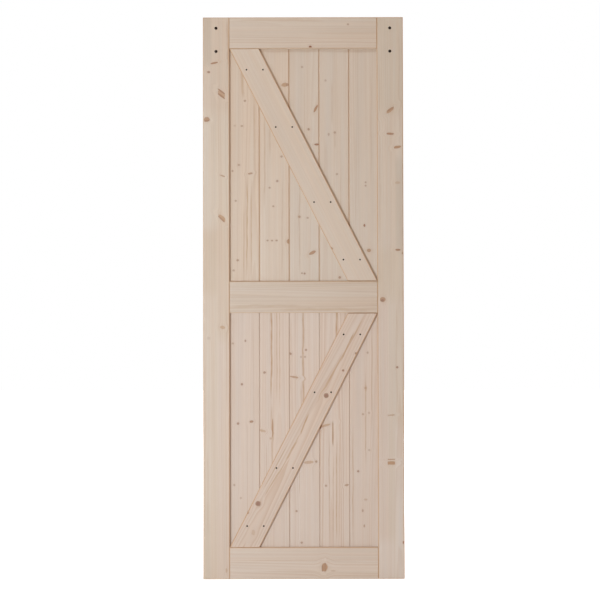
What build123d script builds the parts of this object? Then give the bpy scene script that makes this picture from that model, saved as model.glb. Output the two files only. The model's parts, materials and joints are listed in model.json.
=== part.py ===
from build123d import *
import math
import os

# Slab of a sliding barn door: a grooved softwood frame of two stiles and three rails, two fields of
# tongue-and-groove planks, and two diagonal braces that meet at the right end of the middle rail.
# Millimetres. X runs across the door, -Y faces the viewer, Z runs up from the bottom edge.

# Overall size of the slab
DOOR_WIDTH = 762.0
DOOR_HEIGHT = 2134.0
DOOR_THICKNESS = 35.0

# Frame members
STILE_WIDTH = 100.0
TOP_RAIL_HEIGHT = 120.0
MIDDLE_RAIL_HEIGHT = 120.0
BOTTOM_RAIL_HEIGHT = 120.0
EDGE_EASE = 4.0
ARRIS = 1.0

# Grooves that hold the planks and the rails' stub tenons
GROOVE_DEPTH = 12.0
FIT_CLEARANCE = 0.15
SHOULDER_GAP = 0.4
PLANK_EXPANSION_GAP = 2.0

# Tongue-and-groove planks
PLANK_COVER = 114.0
PLANK_THICKNESS = 15.0
PLANK_JOINT_GAP = 0.4
TONGUE_LENGTH = 6.0
TONGUE_THICKNESS = 5.0
TONGUE_TIP_GAP = 1.0
V_CHAMFER = 2.4

# Diagonal braces, flush with the front of the frame
BRACE_WIDTH = 100.0
BRACE_FIT_GAP = 0.8
BRACE_MIDDLE_GAP = 2.0

# Trim-head screws that hold each brace to the planks
SCREW_END_INSET = 80.0
SCREW_INNER_INSET = 299.0
SCREW_EDGE_INSET = 22.0
SCREW_HEAD_DIAMETER = 6.0
SCREW_HEAD_HEIGHT = 3.0
SCREW_HEAD_SINK = 1.2
SCREW_SHANK_DIAMETER = 3.5
SCREW_POINT_LENGTH = 4.0
SCREW_BACK_COVER = 3.5
SCREW_DRIVE_WIDTH = 2.0
SCREW_DRIVE_DEPTH = 1.6
SCREW_HEAD_CLEARANCE = 0.2
SCREW_SHANK_CLEARANCE = 0.15
SCREW_PILOT_CLEARANCE = 0.02
SCREW_SIDE_COUNT = 12

# Hidden dowels at the rail ends
DOWEL_DIAMETER = 10.0
DOWEL_LENGTH = 80.0
DOWEL_EDGE_INSET = 25.0
DOWEL_FLUTE_DEPTH = 0.6
DOWEL_FLUTE_COUNT = 10
DOWEL_CLEARANCE = 0.1
DOWEL_END_GAP = 1.0

# Bolt holes for the strap hangers, two near the top of each stile
HANGER_HOLE_DIAMETER = 11.0
HANGER_HOLE_DROP = 42.0
HANGER_HOLE_SPACING = 89.0

# How far a cutting shape runs past the face it cuts
CUT_OVERRUN = 5.0

# Places that follow from the sizes above
HALF_WIDTH = DOOR_WIDTH / 2
FRONT = -DOOR_THICKNESS / 2
BACK = DOOR_THICKNESS / 2
INNER_EDGE = HALF_WIDTH - STILE_WIDTH
STILE_CENTRE = HALF_WIDTH - STILE_WIDTH / 2
PLANK_FRONT = -PLANK_THICKNESS / 2
PLANK_BACK = PLANK_THICKNESS / 2
GROOVE_HALF = PLANK_BACK + FIT_CLEARANCE
FIELD_WIDTH = 2 * INNER_EDGE
FIELD_HEIGHT = (DOOR_HEIGHT - TOP_RAIL_HEIGHT - MIDDLE_RAIL_HEIGHT - BOTTOM_RAIL_HEIGHT) / 2
MIDDLE_RAIL_FOOT = BOTTOM_RAIL_HEIGHT + FIELD_HEIGHT
MIDDLE_RAIL_HEAD = MIDDLE_RAIL_FOOT + MIDDLE_RAIL_HEIGHT
BRACE_HEIGHT = FIELD_HEIGHT - BRACE_FIT_GAP - BRACE_MIDDLE_GAP

# Lower and upper edge of each rail, the lower edge of each opening and the foot of each brace
BOTTOM_RAIL_SPAN = (0, BOTTOM_RAIL_HEIGHT)
MIDDLE_RAIL_SPAN = (MIDDLE_RAIL_FOOT, MIDDLE_RAIL_HEAD)
TOP_RAIL_SPAN = (DOOR_HEIGHT - TOP_RAIL_HEIGHT, DOOR_HEIGHT)
RAIL_SPANS = (BOTTOM_RAIL_SPAN, MIDDLE_RAIL_SPAN, TOP_RAIL_SPAN)
FIELD_FEET = {"upper": MIDDLE_RAIL_HEAD, "lower": BOTTOM_RAIL_HEIGHT}
BRACE_FEET = {"upper": MIDDLE_RAIL_HEAD + BRACE_MIDDLE_GAP, "lower": BOTTOM_RAIL_HEIGHT + BRACE_FIT_GAP}


def block(x_span, y_span, z_span):
    """Box between two values along each axis."""
    spans = (x_span, y_span, z_span)
    centre = [(low + high) / 2 for low, high in spans]
    size = [high - low for low, high in spans]
    return Pos(*centre) * Box(*size)


def rod_along_x(x_span, z, radius):
    """Cylinder along X in the middle of the slab's thickness."""
    low, high = x_span
    return Pos((low + high) / 2, 0, z) * Rot(0, 90, 0) * Cylinder(radius, high - low)


def rod_along_y(x, z, y_span, radius):
    """Cylinder through the slab's thickness."""
    low, high = y_span
    return Pos(x, (low + high) / 2, z) * Rot(90, 0, 0) * Cylinder(radius, high - low)


def screw_rod(x, z, y_span, radius):
    """Rod for a screw or its hole, many-sided in place of round so that the small pieces stay light."""
    low, high = y_span
    section = Pos(x, high, z) * Rot(90, 0, 0) * RegularPolygon(radius, SCREW_SIDE_COUNT)
    return extrude(section, high - low, dir=(0, -1, 0))


def eased_slab():
    """Whole door as one block with rounded rims, the outer limit of every frame member."""
    slab = block((-HALF_WIDTH, HALF_WIDTH), (FRONT, BACK), (0, DOOR_HEIGHT))
    rims = slab.faces().filter_by(Axis.Y).edges()
    return fillet(rims, EDGE_EASE)


def dowel_places(rail_span):
    """Centre of each dowel of a rail, in the plane of the stile's inner edge."""
    foot, head = rail_span
    heights = (foot + DOWEL_EDGE_INSET, head - DOWEL_EDGE_INSET)
    return [(side * INNER_EDGE, z) for side in (-1, 1) for z in heights]


def dowel_holes(rail_span):
    """Holes for a rail's dowels, cut from the rail and from both stiles."""
    reach = DOWEL_LENGTH / 2 + DOWEL_END_GAP
    radius = DOWEL_DIAMETER / 2 + DOWEL_CLEARANCE
    places = dowel_places(rail_span)
    return [rod_along_x((x - reach, x + reach), z, radius) for x, z in places]


def dowel_section():
    """Cross-section of a fluted dowel, with a ridge and a flute in turn."""
    ridge = DOWEL_DIAMETER / 2
    flute = ridge - DOWEL_FLUTE_DEPTH
    step = 2 * math.pi / DOWEL_FLUTE_COUNT
    points = []
    for index in range(DOWEL_FLUTE_COUNT):
        for radius, turn in ((ridge, index * step), (flute, (index + 0.5) * step)):
            points.append((radius * math.cos(turn), radius * math.sin(turn)))
    return make_face(Polyline(*points, close=True))


def dowel_group(rail_span):
    """Four fluted dowels, each half in the rail and half in the stile."""
    section = dowel_section()
    dowels = []
    for x, z in dowel_places(rail_span):
        end_plane = Plane((x - DOWEL_LENGTH / 2, 0, z), x_dir=(0, 1, 0), z_dir=(1, 0, 0))
        dowels.append(extrude(end_plane * section, DOWEL_LENGTH))
    return Compound(dowels)


def stile_groove(side):
    """Groove along the inner edge of a stile, open at both ends."""
    floor = side * (INNER_EDGE + GROOVE_DEPTH)
    mouth = side * (INNER_EDGE - CUT_OVERRUN)
    full_height = (-CUT_OVERRUN, DOOR_HEIGHT + CUT_OVERRUN)
    return block(sorted((floor, mouth)), (-GROOVE_HALF, GROOVE_HALF), full_height)


def rail_groove(z_span):
    """Groove along a rail, right through its tenons."""
    reach = INNER_EDGE + GROOVE_DEPTH + CUT_OVERRUN
    return block((-reach, reach), (-GROOVE_HALF, GROOVE_HALF), z_span)


def stile(side, slab):
    """Upright of the frame: side is -1 on the left and 1 on the right."""
    x_span = sorted((side * INNER_EDGE, side * HALF_WIDTH))
    body = block(x_span, (FRONT, BACK), (0, DOOR_HEIGHT))
    inner_face = body.faces().filter_by_position(Axis.X, side * INNER_EDGE, side * INNER_EDGE)
    body = chamfer(inner_face.edges().filter_by(Axis.Z), ARRIS) & slab
    body -= stile_groove(side)
    for rail_span in RAIL_SPANS:
        for hole in dowel_holes(rail_span):
            body -= hole
    for step in (0, 1):
        z = DOOR_HEIGHT - HANGER_HOLE_DROP - step * HANGER_HOLE_SPACING
        through = (FRONT - CUT_OVERRUN, BACK + CUT_OVERRUN)
        body -= rod_along_y(side * STILE_CENTRE, z, through, HANGER_HOLE_DIAMETER / 2)
    return body


def rail(rail_span, slab, groove_above, groove_below):
    """Crosspiece between the stiles, with a stub tenon that seats in each stile's groove."""
    foot, head = rail_span
    shoulder = INNER_EDGE - SHOULDER_GAP
    body = block((-shoulder, shoulder), (FRONT, BACK), rail_span)
    arrises = body.faces().filter_by(Axis.X).edges().filter_by(Axis.Z)
    edge_faces = body.faces().filter_by(Axis.Z).sort_by(Axis.Z)
    if groove_above:
        arrises += edge_faces[-1].edges().filter_by(Axis.X)
    if groove_below:
        arrises += edge_faces[0].edges().filter_by(Axis.X)
    body = chamfer(arrises, ARRIS) & slab
    tenon_end = INNER_EDGE + GROOVE_DEPTH
    body += block((-tenon_end, tenon_end), (PLANK_FRONT, PLANK_BACK), rail_span)
    if groove_above:
        body -= rail_groove((head - GROOVE_DEPTH, head + CUT_OVERRUN))
    if groove_below:
        body -= rail_groove((foot - CUT_OVERRUN, foot + GROOVE_DEPTH))
    for hole in dowel_holes(rail_span):
        body -= hole
    return body


def plank_spans():
    """Left and right limit of the width that each plank covers; the last one takes the remainder."""
    count = max(1, round(FIELD_WIDTH / PLANK_COVER))
    limits = [-INNER_EDGE + index * PLANK_COVER for index in range(count)] + [INNER_EDGE]
    return list(zip(limits[:-1], limits[1:]))


def tongue_side(limit):
    """Outline of a plank's left edge, from front to back: V chamfer, shoulder and tongue."""
    shoulder = limit + PLANK_JOINT_GAP / 2
    tip = shoulder - TONGUE_LENGTH
    half = TONGUE_THICKNESS / 2
    front = [
        (shoulder + V_CHAMFER, PLANK_FRONT),
        (shoulder, PLANK_FRONT + V_CHAMFER),
        (shoulder, -half),
        (tip, -half),
    ]
    return front + [(x, -y) for x, y in reversed(front)]


def groove_side(limit):
    """Outline of a plank's right edge, from back to front: V chamfer, shoulder and groove."""
    shoulder = limit - PLANK_JOINT_GAP / 2
    floor = shoulder + PLANK_JOINT_GAP - TONGUE_LENGTH - TONGUE_TIP_GAP
    half = TONGUE_THICKNESS / 2 + FIT_CLEARANCE
    back = [
        (shoulder - V_CHAMFER, PLANK_BACK),
        (shoulder, PLANK_BACK - V_CHAMFER),
        (shoulder, half),
        (floor, half),
    ]
    return back + [(x, -y) for x, y in reversed(back)]


def plank(x_span, field_foot, pilot_holes):
    """One board: it stands in the lower groove and has room to swell in the others."""
    housed = GROOVE_DEPTH - PLANK_EXPANSION_GAP
    low, high = x_span
    if low > -INNER_EDGE:
        left = tongue_side(low)
    else:
        left = [(low - housed, PLANK_FRONT), (low - housed, PLANK_BACK)]
    if high < INNER_EDGE:
        right = groove_side(high)
    else:
        right = [(high + housed, PLANK_BACK), (high + housed, PLANK_FRONT)]
    section = make_face(Polyline(*left, *right, close=True))
    length = GROOVE_DEPTH + FIELD_HEIGHT + housed
    board = Pos(0, 0, field_foot - GROOVE_DEPTH) * extrude(section, length)
    for hole in pilot_holes:
        board -= hole
    return board


def brace_lean():
    """Angle from upright at which a brace runs from corner to corner of its opening."""
    clear_width = FIELD_WIDTH - 2 * BRACE_FIT_GAP
    diagonal = math.hypot(clear_width, BRACE_HEIGHT)
    return math.acos(BRACE_WIDTH / diagonal) - math.atan2(BRACE_HEIGHT, clear_width)


def screw_places(lean_side, foot):
    """Screw centres on a brace, in level pairs; lean_side is 1 where the brace's head leans left."""
    middle = foot + BRACE_HEIGHT / 2
    half_pair = (BRACE_WIDTH / 2 - SCREW_EDGE_INSET) / math.cos(brace_lean())
    places = []
    for inset in (SCREW_END_INSET, SCREW_INNER_INSET):
        for end in (-1, 1):
            rise = end * (BRACE_HEIGHT / 2 - inset)
            line_x = -lean_side * rise * math.tan(brace_lean())
            places += [(line_x + hand * half_pair, middle + rise) for hand in (-1, 1)]
    return places


def screw_levels():
    """Depths along a screw: top of its head, underside of its head and its point."""
    top = FRONT + SCREW_HEAD_SINK
    return top, top + SCREW_HEAD_HEIGHT, PLANK_BACK - SCREW_BACK_COVER


def screw(x, z):
    """Trim-head screw with a square drive, driven from the front."""
    top, seat, point = screw_levels()
    shank_end = point - SCREW_POINT_LENGTH
    radius = SCREW_SHANK_DIAMETER / 2
    body = screw_rod(x, z, (top, seat), SCREW_HEAD_DIAMETER / 2)
    body += screw_rod(x, z, (seat, shank_end), radius)
    shank_face = body.faces().sort_by(Axis.Y)[-1]
    body += loft([shank_face, Vertex(x, point, z)])
    half = SCREW_DRIVE_WIDTH / 2
    depth = (top - CUT_OVERRUN, top + SCREW_DRIVE_DEPTH)
    return body - block((x - half, x + half), depth, (z - half, z + half))


def screw_pilots(places):
    """Holes that a brace's screws make in the planks behind it."""
    radius = SCREW_SHANK_DIAMETER / 2 + SCREW_PILOT_CLEARANCE
    depth = (PLANK_FRONT - CUT_OVERRUN, screw_levels()[-1])
    return [screw_rod(x, z, depth, radius) for x, z in places]


def brace(lean_side, foot, places):
    """Diagonal board with level ends, drilled and counterbored for its screws."""
    right = lean_side * (INNER_EDGE - BRACE_FIT_GAP)
    head = foot + BRACE_HEIGHT
    level_width = lean_side * BRACE_WIDTH / math.cos(brace_lean())
    outline = Polyline(
        (-right, head),
        (-right + level_width, head),
        (right, foot),
        (right - level_width, foot),
        close=True,
    )
    face = Plane((0, PLANK_FRONT, 0), x_dir=(1, 0, 0), z_dir=(0, -1, 0)) * make_face(outline)
    body = extrude(face, PLANK_FRONT - FRONT, dir=(0, -1, 0))
    front_face = body.faces().filter_by_position(Axis.Y, FRONT, FRONT)
    body = chamfer(front_face.edges(), ARRIS)
    head_radius = SCREW_HEAD_DIAMETER / 2 + SCREW_HEAD_CLEARANCE
    shank_radius = SCREW_SHANK_DIAMETER / 2 + SCREW_SHANK_CLEARANCE
    seat = screw_levels()[1]
    for x, z in places:
        body -= screw_rod(x, z, (FRONT - CUT_OVERRUN, seat), head_radius)
        body -= screw_rod(x, z, (FRONT, PLANK_FRONT + CUT_OVERRUN), shank_radius)
    return body


def build_parts():
    """Every sub-part of the door, by name."""
    slab = eased_slab()
    parts = {
        "left_stile": stile(-1, slab),
        "right_stile": stile(1, slab),
        "top_rail": rail(TOP_RAIL_SPAN, slab, groove_above=False, groove_below=True),
        "middle_rail": rail(MIDDLE_RAIL_SPAN, slab, groove_above=True, groove_below=True),
        "bottom_rail": rail(BOTTOM_RAIL_SPAN, slab, groove_above=True, groove_below=False),
        "top_rail_dowels": dowel_group(TOP_RAIL_SPAN),
        "middle_rail_dowels": dowel_group(MIDDLE_RAIL_SPAN),
        "bottom_rail_dowels": dowel_group(BOTTOM_RAIL_SPAN),
    }
    for field, lean_side in (("upper", 1), ("lower", -1)):
        places = screw_places(lean_side, BRACE_FEET[field])
        pilots = screw_pilots(places)
        for number, x_span in enumerate(plank_spans(), start=1):
            parts[f"{field}_plank_{number}"] = plank(x_span, FIELD_FEET[field], pilots)
        parts[f"{field}_brace"] = brace(lean_side, BRACE_FEET[field], places)
        parts[f"{field}_brace_screws"] = Compound([screw(x, z) for x, z in places])
    return parts


os.makedirs("parts", exist_ok=True)
for name, shape in build_parts().items():
    export_step(shape, f"parts/{name}.step")
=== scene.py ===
import json
import math

import bmesh
import bpy
from mathutils import Matrix, Vector

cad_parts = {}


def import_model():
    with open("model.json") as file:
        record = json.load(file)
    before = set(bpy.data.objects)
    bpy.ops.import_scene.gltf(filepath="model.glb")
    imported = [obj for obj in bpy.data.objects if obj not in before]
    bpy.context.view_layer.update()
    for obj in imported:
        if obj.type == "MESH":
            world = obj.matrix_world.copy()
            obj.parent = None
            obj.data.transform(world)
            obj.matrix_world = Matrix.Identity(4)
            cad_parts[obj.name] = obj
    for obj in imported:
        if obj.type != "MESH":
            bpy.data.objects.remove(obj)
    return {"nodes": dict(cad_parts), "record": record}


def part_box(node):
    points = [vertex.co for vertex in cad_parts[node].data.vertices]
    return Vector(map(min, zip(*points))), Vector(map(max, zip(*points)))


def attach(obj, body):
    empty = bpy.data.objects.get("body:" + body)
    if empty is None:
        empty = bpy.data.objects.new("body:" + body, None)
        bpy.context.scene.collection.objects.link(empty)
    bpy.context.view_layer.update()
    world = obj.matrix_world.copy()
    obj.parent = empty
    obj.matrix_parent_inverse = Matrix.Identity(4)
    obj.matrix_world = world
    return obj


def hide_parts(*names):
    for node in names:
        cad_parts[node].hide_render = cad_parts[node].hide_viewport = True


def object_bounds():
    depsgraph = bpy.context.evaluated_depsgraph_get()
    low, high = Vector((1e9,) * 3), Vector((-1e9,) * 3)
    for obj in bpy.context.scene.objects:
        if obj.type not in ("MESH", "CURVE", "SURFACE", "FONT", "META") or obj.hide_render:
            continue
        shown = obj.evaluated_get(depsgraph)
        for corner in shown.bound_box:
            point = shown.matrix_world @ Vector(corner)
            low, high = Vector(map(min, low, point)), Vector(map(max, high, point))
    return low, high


# Slab of a sliding barn door in bare spruce: every board keeps its shape and gets its own wood.
# Metres, in the frame of the solids: X runs across the door, -Y faces the viewer, Z runs up.

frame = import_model()
cad_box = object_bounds()
nodes = frame["nodes"]

# Camera, set so that the door's corners fall where the photograph has them
IMAGE_SIDE = 600
SENSOR_WIDTH = 36.0
LENS = 53.48
CAMERA_PLACE = Vector((-0.0131, -3.4, 1.0146))
CAMERA_PITCH = math.radians(0.7)
CAMERA_ROLL = math.radians(-0.127)

# Light: the brightness that each source alone would give a white face turned towards it
DOOR_MIDDLE = (cad_box[0] + cad_box[1]) / 2
KEY_PLACE = Vector((-1.95, -2.9, 0.45))
KEY_SIZE = (0.7, 0.8)
KEY_LEVEL = 0.57
KEY_COLOUR = (0.86, 1.0, 1.1)
TOP_PLACE = Vector((-0.2, -0.7, 3.05))
TOP_SIZE = (1.4, 0.3)
TOP_LEVEL = 0.2
TOP_COLOUR = (1.0, 0.97, 0.94)
BACK_PLACE = Vector((0.6, 3.9, 1.4))
BACK_SIZE = (0.9, 2.0)
BACK_LEVEL = 0.38
BACK_COLOUR = (0.84, 1.0, 1.12)
SIDE_PLACE = Vector((2.4, 1.1, 3.6))
SIDE_SIZE = (1.0, 1.0)
SIDE_LEVEL = 0.3
SIDE_COLOUR = (0.88, 1.0, 1.1)
WORLD_LEVEL = 0.46
WORLD_COLOUR = (1.0, 0.77, 0.59)

# Floor: pale, and white in the picture except where the door shades it
FLOOR_SIZE = 16.0
FLOOR_COLOUR = (0.87, 0.91, 0.96)
FLOOR_GLOW_NEAR = 0.74
FLOOR_GLOW_FAR = 1.0
FLOOR_NEAR_REACH = 0.4
FLOOR_FAR_REACH = 1.4

# Wood colours
EARLY_WOOD = Vector((0.64, 0.535, 0.445))
LATE_WOOD = Vector((0.545, 0.395, 0.289))
# Colour of resin-rich wood, also used for the painted shade under the top rail
RESIN_AND_HEAD_SHADE = Vector((0.49, 0.325, 0.205))
# Warm dark colour of the painted shade at rims and arrises
ARRIS_SHADE = Vector((0.57, 0.34, 0.18))
KNOT_PALE = (0.4, 0.235, 0.15)
KNOT_DARK = (0.23, 0.092, 0.054)
KNOT_ORANGE = (0.44, 0.24, 0.12)
# Almost black painted shade for the inside of drilled holes
BORE_SHADE = (0.045, 0.014, 0.002)
BEECH_PALE = (0.6, 0.43, 0.29)
BEECH_FLECK = (0.42, 0.26, 0.16)
SCREW_DARK = (0.012, 0.009, 0.006)
SCREW_WORN = (0.04, 0.03, 0.022)

# Tints that set one glued length of a stile apart from the rest of it
GREY_TINT = (0.9, 0.9, 0.89)
DULL_TINT = (0.96, 0.965, 0.95)
WARM_TINT = (0.97, 0.955, 0.925)
ROSE_TINT = (1.0, 0.97, 0.98)
PALE_TINT = (1.035, 1.045, 1.085)
STRAW_TINT = (1.03, 1.065, 1.085)
LENGTH_SOFT_ALONG = 0.03
LENGTH_SOFT_ACROSS = 0.006

# Growth rings: scales run across, through and along the grain
RING_WIDTH = 0.0026
BROAD_RING_WIDTH = 0.0034
BROADEST_RING_WIDTH = 0.0036
RING_WANDER = 0.004
RING_WANDER_SCALE = (9, 9, 0.9)
FIBRE_WANDER = 0.0006
FIBRE_WANDER_SCALE = (110, 110, 4)
BAND_SCALE = 210.0
BAND_LENGTH_SHARE = 0.004

# Late wood, between shares of a ring's width, and how dark it is from year to year
LATE_START_SHARES = (0.25, 0.92)
LATE_END_SHARES = (1.0, 0.95)
YEAR_SHARE = 0.6
YEAR_SPREAD_SHARE = 0.4

# Glued staves: each has a heart of its own, to one side of it and behind the board
STAVE_WIDTH = 0.0277
BROAD_STAVE_WIDTH = 0.0413
STAVE_SEED_STEP = 3.7
SAME_STAVE_LIMIT = 0.5
HEART_SEED_STEP = 0.5
TONE_SEED_STEP = 0.9
HEART_SIDE_SPREAD = 0.12
HEART_DEPTH = 0.07
HEART_DEPTH_SPREAD = 0.03

# Tone of the wood: scales run across, through and along the grain, and shares say how much each counts
FIBRE_SCALE = (1500, 1500, 26)
CLOUD_SCALE = (16, 16, 2.2)
HUE_SCALE = (60, 60, 1.5)
BAND_SHARE = 0.11
CLOUD_SHARE = 0.06
FIBRE_SHARE = 0.06
STAVE_SHARE = 0.03
HUE_SHARE = 0.04
RED_POWER = 0.55
BLUE_POWER = 1.4
HALO_SHARE = 0.2
END_GRAIN_SHARE = 0.4
END_GRAIN_POWER = 4.0

# Surface of the wood
WOOD_ROUGHNESS = 0.68
LATE_ROUGHNESS_SHARE = -0.12
FIBRE_ROUGHNESS_SHARE = 0.12
WOOD_SPECULAR = 0.3
WOOD_BUMP_SHARE = 0.35
BUMP_DEPTH = 0.0004
BORE_MARGIN = 0.0003

# Painted warm shade at the rims and arrises of the boards: the shares say how far a face turns to the
# front or to the back
SHADE_RIM_WIDTH = 0.0045
ARRIS_FACING_SHARES = (0.98, 0.85)
SIDE_FACING_SHARES = (0.1, 0.4)

# Knots: the largest pin knot, a knot's slant through the board, and shares of its half size, which run
# from outside to inside
PIN_LIMIT_PIXELS = 1.6
KNOT_SLANT = 0.5
KNOT_SLANT_TURN = 2.4
KNOT_SEED_SCALE = 90.0
KNOT_UNEVEN_SCALE = 1.3
KNOT_UNEVEN_SHARE = 0.25
KNOT_REACH_SHARES = (1.4, 1.1)
KNOT_EDGE_SHARES = (1.2, 0.8)
KNOT_HALO_SHARES = (3.0, 0.6)
KNOT_BEND_SHARES = (4.0, 0.4)
KNOT_BEND = -0.6
KNOT_CORE_SHARES = (1.0, 0.55)
KNOT_RIM_PALENESS = 0.3
KNOT_RING_COUNT = 3.0
KNOT_HALF_RING = 0.5
KNOT_RING_PALENESS = -0.1
KNOT_RING_SPREAD = 0.2

# Resin streaks, and the painted shade under the top rail drawn as one: shares are of a streak's half
# width, of its length and of its strength
STREAK_WANDER_SCALE = 9.0
STREAK_WANDER_SHARE = 1.0
STREAK_EDGE_SHARES = (1.0, 0.3)
STREAK_END_SHARE = 0.25
STREAK_PATCH_SCALE = 30.0
STREAK_PATCH_SHARE = 0.9
STREAK_PATCH_SPREAD_SHARE = 0.45

# Beech of the dowels, with flecks along the door's width
BEECH_FLECK_SCALE = (180, 1400, 1400)
BEECH_FLECK_SHARES = (0.58, 0.72)
BEECH_CLOUD_SCALE = 60.0
BEECH_CLOUD_SHARE = 0.4
BEECH_ROUGHNESS = 0.5
BEECH_ROUGHNESS_SHARE = 0.2
BEECH_BUMP_SHARE = 0.3

# Coat of the screws
SCREW_GRIT_SCALE = 2600.0
SCREW_GRIT_DEPTH = 0.00005
SCREW_GRIT_SHARE = 0.25
SCREW_WEAR_SCALE = 700.0
SCREW_WEAR_SHARES = (0.5, 0.75)
SCREW_ROUGHNESS = 0.7
SCREW_ROUGHNESS_SPREAD = 0.15
SCREW_SPECULAR = 0.2

# Screws: a trim head with a square drive and a cut thread, inside the outline of the solid screw
SCREW_SEGMENTS = 24
SCREW_HEAD_RADIUS = 0.003
SCREW_HEAD_HEIGHT = 0.003
SCREW_RIM = 0.0003
SCREW_DRIVE_HALF = 0.001
SCREW_DRIVE_DEPTH = 0.0016
SCREW_CREST_RADIUS = 0.00168
SCREW_CORE_RADIUS = 0.00115
SCREW_PITCH = 0.0016
SCREW_RINGS_PER_PITCH = 8
SCREW_POINT_LENGTH = 0.004
SCREW_RIDGE_SLOPE = 3
SCREW_TIP_SHARE = 0.04
SCREW_SHARP_ANGLE = math.radians(40)
SCREW_PLACE_DIGITS = 4

# Shared values: the last two keep what lies in the door's face, and what lies across the grain
MILLIMETRE = 0.001
WHITE = (1, 1, 1)
IN_THE_FACE = (1, 0, 1)
ACROSS_THE_GRAIN = (1, 1, 0)


class Graph:
    """Short ways to add and link the nodes of one shader tree."""

    def __init__(self, tree):
        self.tree = tree

    def put(self, socket, value):
        """Link another node's output to a socket, or set a plain value there."""
        if isinstance(value, bpy.types.NodeSocket):
            self.tree.links.new(value, socket)
        elif socket.type == "RGBA":
            socket.default_value = (*value, 1.0)
        else:
            socket.default_value = value

    def add(self, kind, inputs=None, **settings):
        """Add a node with its settings and inputs."""
        node = self.tree.nodes.new(kind)
        for name, value in settings.items():
            setattr(node, name, value)
        for key, value in (inputs or {}).items():
            self.put(node.inputs[key], value)
        return node

    def calc(self, operation, *values):
        """Result of one step of arithmetic on numbers."""
        return self.add("ShaderNodeMath", dict(enumerate(values)), operation=operation).outputs[0]

    def vector(self, operation, *values):
        """Result of one step of arithmetic on vectors."""
        node = self.add("ShaderNodeVectorMath", operation=operation)
        sockets = [socket for socket in node.inputs if socket.enabled]
        for socket, value in zip(sockets, values):
            self.put(socket, value)
        return next(output for output in node.outputs if output.enabled)

    def ramp(self, value, low, high, start=0.0, end=1.0):
        """Smooth step: start below low, end above high; low may be the larger one."""
        inputs = {0: value, 1: low, 2: high, 3: start, 4: end}
        return self.add("ShaderNodeMapRange", inputs, interpolation_type="SMOOTHSTEP").outputs[0]

    def noise(self, place, scale, detail=1.0):
        """Smooth noise from 0 to 1."""
        inputs = {"Vector": place, "Scale": scale, "Detail": detail}
        return self.add("ShaderNodeTexNoise", inputs).outputs[0]

    def stretched_noise(self, place, scales, detail=1.0):
        """Smooth noise from 0 to 1, with its own scale along each axis."""
        return self.noise(self.vector("MULTIPLY", place, scales), 1.0, detail)

    def random(self, number):
        """Random number from 0 to 1 that belongs to a number."""
        return self.add("ShaderNodeTexWhiteNoise", {"W": number}, noise_dimensions="1D").outputs[0]

    def around(self, number, middle, reach):
        """Number from 0 to 1, spread over a stretch that reaches this far each way from the middle."""
        return self.calc("MULTIPLY_ADD", number, 2 * reach, middle - reach)

    def mix(self, share, first, second):
        """Number between two numbers."""
        return self.add("ShaderNodeMix", {0: share, 2: first, 3: second}).outputs[0]

    def blend(self, share, first, second, mode="MIX"):
        """Colour between two colours."""
        inputs = {0: share, 6: first, 7: second}
        return self.add("ShaderNodeMix", inputs, data_type="RGBA", blend_type=mode).outputs[2]

    def part(self, vector, axis):
        """One of the three numbers of a vector, 0 to 2."""
        return self.vector("DOT_PRODUCT", vector, tuple(float(index == axis) for index in range(3)))

    def join(self, *numbers):
        """Vector of up to three numbers."""
        return self.add("ShaderNodeCombineXYZ", dict(enumerate(numbers))).outputs[0]

    def bump(self, shader, height, share, depth):
        """Give a surface shader a relief of that depth, at a share of its strength."""
        relief = self.add("ShaderNodeBump", {"Height": height, "Strength": share, "Distance": depth})
        self.put(shader.inputs["Normal"], relief.outputs[0])

    def group(self, tree, inputs):
        """Add a node group and return its outputs by name."""
        node = self.tree.nodes.new("ShaderNodeGroup")
        node.node_tree = tree
        for key, value in inputs.items():
            self.put(node.inputs[key], value)
        return node.outputs


def new_group(name, inputs, outputs):
    """Empty node group with the named sockets: its graph, its inputs and its output node."""
    tree = bpy.data.node_groups.new(name, "ShaderNodeTree")
    for label, kind in inputs.items():
        tree.interface.new_socket(name=label, in_out="INPUT", socket_type=f"NodeSocket{kind}")
    for label, kind in outputs.items():
        tree.interface.new_socket(name=label, in_out="OUTPUT", socket_type=f"NodeSocket{kind}")
    graph = Graph(tree)
    source = graph.add("NodeGroupInput").outputs
    result = graph.add("NodeGroupOutput")
    return graph, source, result


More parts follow.
